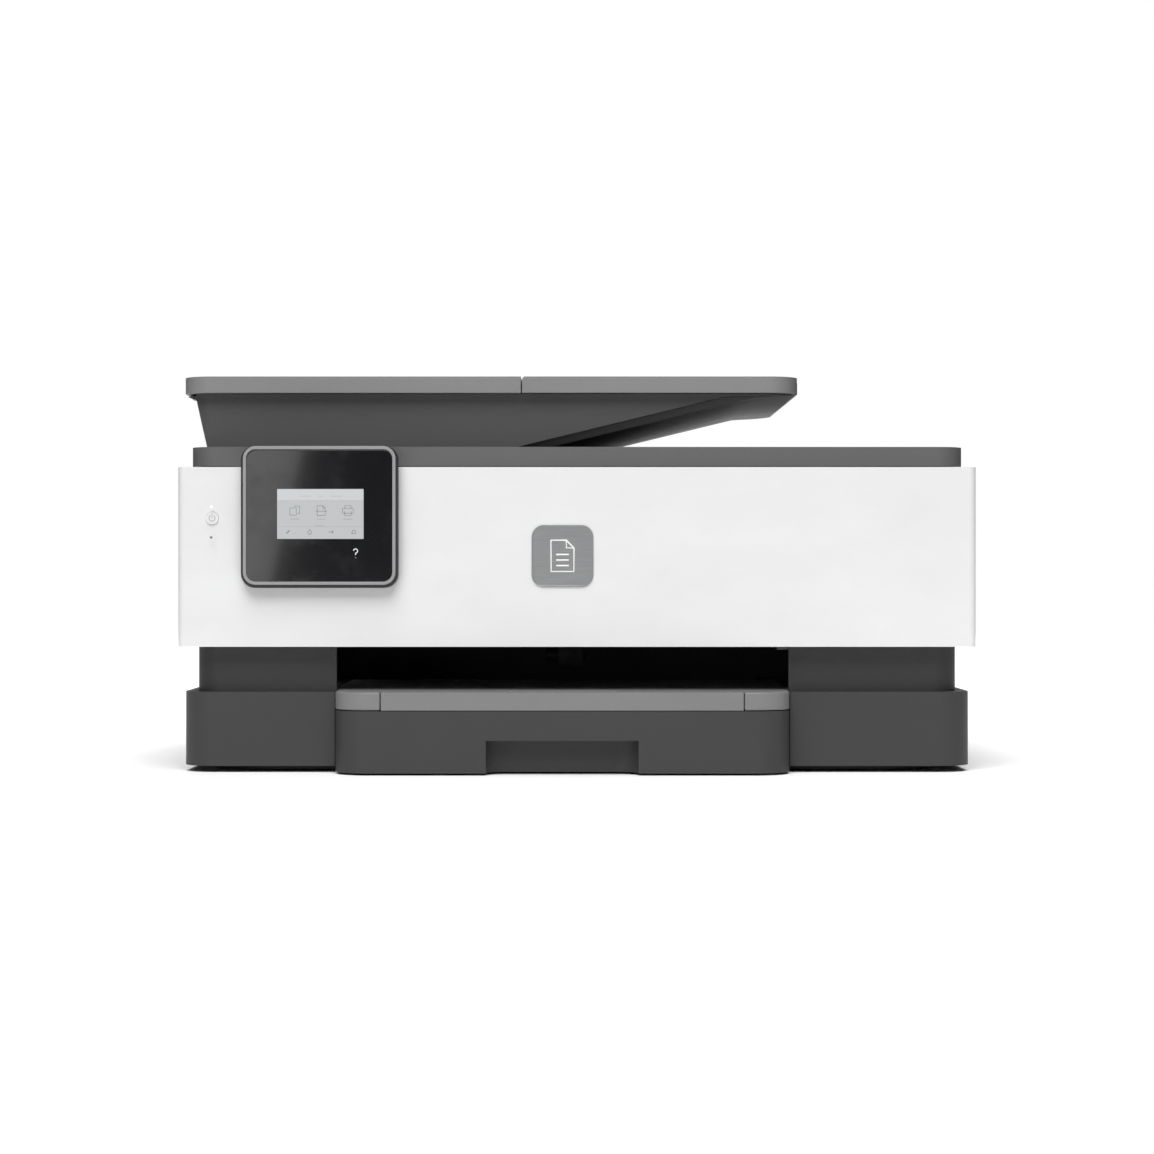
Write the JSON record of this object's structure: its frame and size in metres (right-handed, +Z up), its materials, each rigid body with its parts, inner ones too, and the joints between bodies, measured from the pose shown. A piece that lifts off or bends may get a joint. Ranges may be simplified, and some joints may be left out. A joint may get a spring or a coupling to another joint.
{
  "type": "inkjet printer",
  "caption": "White and grey desktop inkjet printer with a document feeder on its scanner lid, a tilting touch panel on its front door and a paper tray below.",
  "frame": {"origin": "middle of the footprint, on the surface that the feet rest on", "axes": "+Z up, +X to the right as seen from the front, the front faces -Y"},
  "size_m": [0.4625, 0.341, 0.2303],
  "materials": {
    "white_plastic": "fine matt moulding grain",
    "base_plastic": "dark grey fine matt moulding grain",
    "black_plastic": "matt black moulding",
    "rubber": "matt rubber",
    "glass": "clear pane",
    "steel": "bright zinc plate",
    "brass": "machined",
    "badge_metal": "satin",
    "panel_plastic": "satin dark rim with a light ring",
    "panel_glass": "polished black",
    "screen": "lit light grey display",
    "lid_plastic": "mid grey fine matt grain",
    "pad_foam": "white foam sheet",
    "feeder_plastic": "dark grey fine matt grain",
    "plate_plastic": "light grey fine matt grain",
    "tray_plastic": "light grey fine matt grain",
    "guide_plastic": "smooth dark grey",
    "head_plastic": "moulded grey with a steel face",
    "ink_cyan": "moulded",
    "ink_magenta": "moulded",
    "ink_yellow": "moulded",
    "belt_rubber": "toothed belt",
    "gear_plastic": "natural acetal",
    "board": "green laminate"
  },
  "bodies": {
    "base": {"base_pan": "black_plastic", "rubber_feet": "rubber", "base_shell": "base_plastic", "upper_shell": "white_plastic", "scanner_glass": "glass", "scan_rod": "steel", "lid_hinges": "black_plastic", "output_tray": "tray_plastic", "print_frame": "steel", "carriage_rod": "steel", "carriage_belt": "belt_rubber", "carriage_motor": "steel", "feed_motor": "steel", "platen": "black_plastic", "waste_ink_tray": "black_plastic", "main_board": "board", "power_supply": "black_plastic", "power_inlet": "black_plastic", "motor_screws": "steel"},
    "front_door": {"front_door": "white_plastic", "badge": "badge_metal"},
    "power_button": {"power_button": "white_plastic"},
    "control_panel": {"panel_housing": "panel_plastic", "panel_glass": "panel_glass", "display_screen": "screen"},
    "lid": {"scanner_lid": "lid_plastic", "lid_pad": "pad_foam", "feeder_body": "feeder_plastic"},
    "feeder_cover": {"feeder_cover": "plate_plastic"},
    "feeder_tray": {"feeder_tray": "plate_plastic"},
    "feeder_guide_front": {"feeder_guide_front": "plate_plastic"},
    "feeder_guide_rear": {"feeder_guide_rear": "plate_plastic"},
    "feeder_pick_roller": {"feeder_pick_roller": "steel"},
    "feeder_exit_roller": {"feeder_exit_roller": "steel"},
    "scan_bar": {"scan_bar": "black_plastic"},
    "carriage": {"carriage": "black_plastic", "printhead": "head_plastic", "cartridge_black": "black_plastic", "cartridge_cyan": "ink_cyan", "cartridge_magenta": "ink_magenta", "cartridge_yellow": "ink_yellow"},
    "motor_pulley": {"motor_pulley": "brass"},
    "idler_pulley": {"idler_pulley": "gear_plastic"},
    "feed_roller": {"feed_roller": "steel", "feed_gear": "gear_plastic"},
    "idler_gear": {"idler_gear": "gear_plastic"},
    "output_roller": {"output_roller": "steel"},
    "motor_pinion": {"motor_pinion": "brass"},
    "pinch_rollers": {"pinch_rollers": "steel"},
    "star_wheels": {"star_wheels": "steel"},
    "pick_arm": {"pick_arm": "black_plastic"},
    "pick_roller": {"pick_roller": "rubber"},
    "capping_sled": {"capping_sled": "black_plastic"},
    "input_tray": {"input_tray": "base_plastic"},
    "paper_guide_left": {"paper_guide_left": "guide_plastic"},
    "paper_guide_right": {"paper_guide_right": "guide_plastic"},
    "length_guide": {"length_guide": "guide_plastic"},
    "output_extender": {"output_extender": "tray_plastic"},
    "extender_stop": {"extender_stop": "tray_plastic"},
    "rear_door": {"rear_door": "white_plastic"}
  },
  "joints": [
    {"name": "lid_hinge", "type": "hinge", "parent": "base", "child": "lid", "pos_m": [0, 0.1635, 0.1825], "axis": [-1, 0, 0], "range_deg": [0, 65]},
    {"name": "feeder_cover_hinge", "type": "hinge", "parent": "lid", "child": "feeder_cover", "pos_m": [-0.2308, 0, 0.2223], "axis": [0, -1, 0], "range_deg": [0, 75]},
    {"name": "feeder_tray_hinge", "type": "hinge", "parent": "lid", "child": "feeder_tray", "pos_m": [-0.0305, 0, 0.2279], "axis": [0, -1, 0], "range_deg": [0, 35]},
    {"name": "feeder_guide_slide", "type": "slide", "parent": "feeder_tray", "child": "feeder_guide_front", "axis": [0, 1, 0], "range_m": [0, 0.06]},
    {"name": "feeder_guide_rear_slide", "type": "slide", "parent": "feeder_tray", "child": "feeder_guide_rear", "axis": [0, 1, 0], "range_m": [-0.06, 0]},
    {"name": "feeder_exit_turn", "type": "hinge", "parent": "lid", "child": "feeder_exit_roller", "pos_m": [-0.0947, 0, 0.2067], "axis": [0, 1, 0], "continuous": true},
    {"name": "feeder_pick_turn", "type": "hinge", "parent": "lid", "child": "feeder_pick_roller", "pos_m": [-0.0627, 0, 0.2117], "axis": [0, 1, 0], "continuous": true},
    {"name": "front_door_hinge", "type": "hinge", "parent": "base", "child": "front_door", "pos_m": [0, -0.1385, 0.0747], "axis": [-1, 0, 0], "range_deg": [-75, 0]},
    {"name": "panel_tilt", "type": "hinge", "parent": "front_door", "child": "control_panel", "pos_m": [0, -0.1465, 0.1835], "axis": [-1, 0, 0], "range_deg": [0, 25]},
    {"name": "power_button_press", "type": "slide", "parent": "front_door", "child": "power_button", "axis": [0, 1, 0], "range_m": [0, 0.0008], "stiffness_N_per_m": 600},
    {"name": "scan_bar_slide", "type": "slide", "parent": "base", "child": "scan_bar", "axis": [1, 0, 0], "range_m": [0, 0.318]},
    {"name": "carriage_slide", "type": "slide", "parent": "base", "child": "carriage", "axis": [1, 0, 0], "range_m": [-0.3, 0]},
    {"name": "motor_pulley_turn", "type": "hinge", "parent": "base", "child": "motor_pulley", "pos_m": [-0.18, 0, 0.124], "axis": [0, 1, 0], "continuous": true},
    {"name": "idler_pulley_turn", "type": "hinge", "parent": "base", "child": "idler_pulley", "pos_m": [0.188, 0, 0.124], "axis": [0, 1, 0], "continuous": true},
    {"name": "feed_roller_turn", "type": "hinge", "parent": "base", "child": "feed_roller", "pos_m": [0, 0.048, 0.086], "axis": [1, 0, 0], "continuous": true},
    {"name": "idler_gear_turn", "type": "hinge", "parent": "base", "child": "idler_gear", "pos_m": [0, 0.0064, 0.086], "axis": [1, 0, 0], "continuous": true},
    {"name": "output_roller_turn", "type": "hinge", "parent": "base", "child": "output_roller", "pos_m": [0, -0.0352, 0.086], "axis": [1, 0, 0], "continuous": true},
    {"name": "motor_pinion_turn", "type": "hinge", "parent": "base", "child": "motor_pinion", "pos_m": [0, 0.07159, 0.09366], "axis": [1, 0, 0], "continuous": true},
    {"name": "pinch_roller_turn", "type": "hinge", "parent": "base", "child": "pinch_rollers", "pos_m": [0, 0.048, 0.0977], "axis": [1, 0, 0], "continuous": true},
    {"name": "star_wheel_turn", "type": "hinge", "parent": "base", "child": "star_wheels", "pos_m": [0, -0.0352, 0.0952], "axis": [1, 0, 0], "continuous": true},
    {"name": "pick_arm_hinge", "type": "hinge", "parent": "base", "child": "pick_arm", "pos_m": [0, 0.084, 0.08], "axis": [1, 0, 0], "range_deg": [0, 40]},
    {"name": "pick_roller_turn", "type": "hinge", "parent": "pick_arm", "child": "pick_roller", "pos_m": [0, 0.034, 0.062], "axis": [1, 0, 0], "continuous": true},
    {"name": "capping_sled_drop", "type": "slide", "parent": "base", "child": "capping_sled", "axis": [0, 0, -1], "range_m": [0, 0.008]},
    {"name": "input_tray_slide", "type": "slide", "parent": "base", "child": "input_tray", "axis": [0, -1, 0], "range_m": [0, 0.2]},
    {"name": "paper_guide_slide", "type": "slide", "parent": "input_tray", "child": "paper_guide_left", "axis": [1, 0, 0], "range_m": [0, 0.05]},
    {"name": "paper_guide_right_slide", "type": "slide", "parent": "input_tray", "child": "paper_guide_right", "axis": [1, 0, 0], "range_m": [-0.05, 0]},
    {"name": "length_guide_slide", "type": "slide", "parent": "input_tray", "child": "length_guide", "axis": [0, -1, 0], "range_m": [0, 0.08]},
    {"name": "extender_slide", "type": "slide", "parent": "base", "child": "output_extender", "axis": [0, -1, 0], "range_m": [0, 0.12]},
    {"name": "extender_stop_hinge", "type": "hinge", "parent": "output_extender", "child": "extender_stop", "pos_m": [0, -0.1669, 0.04565], "axis": [1, 0, 0], "range_deg": [0, 95]},
    {"name": "rear_door_hinge", "type": "hinge", "parent": "base", "child": "rear_door", "pos_m": [0, 0.1692, 0.0799], "axis": [-1, 0, 0], "range_deg": [0, 80]}
  ],
  "couplings": [
    {"joint": "feeder_guide_rear_slide", "follows": "feeder_guide_slide", "ratio": -1},
    {"joint": "feeder_pick_turn", "follows": "feeder_exit_turn", "ratio": 1.2857},
    {"joint": "motor_pulley_turn", "follows": "carriage_slide", "rad_per_m": -149.25},
    {"joint": "idler_pulley_turn", "follows": "carriage_slide", "rad_per_m": -149.25},
    {"joint": "idler_gear_turn", "follows": "feed_roller_turn", "ratio": -0.92593},
    {"joint": "output_roller_turn", "follows": "feed_roller_turn", "ratio": 1},
    {"joint": "motor_pinion_turn", "follows": "feed_roller_turn", "ratio": -4.1667},
    {"joint": "pinch_roller_turn", "follows": "feed_roller_turn", "ratio": -1.875},
    {"joint": "star_wheel_turn", "follows": "feed_roller_turn", "ratio": -2},
    {"joint": "pick_roller_turn", "follows": "feed_roller_turn", "ratio": 0.83333},
    {"joint": "paper_guide_right_slide", "follows": "paper_guide_slide", "ratio": -1}
  ]
}
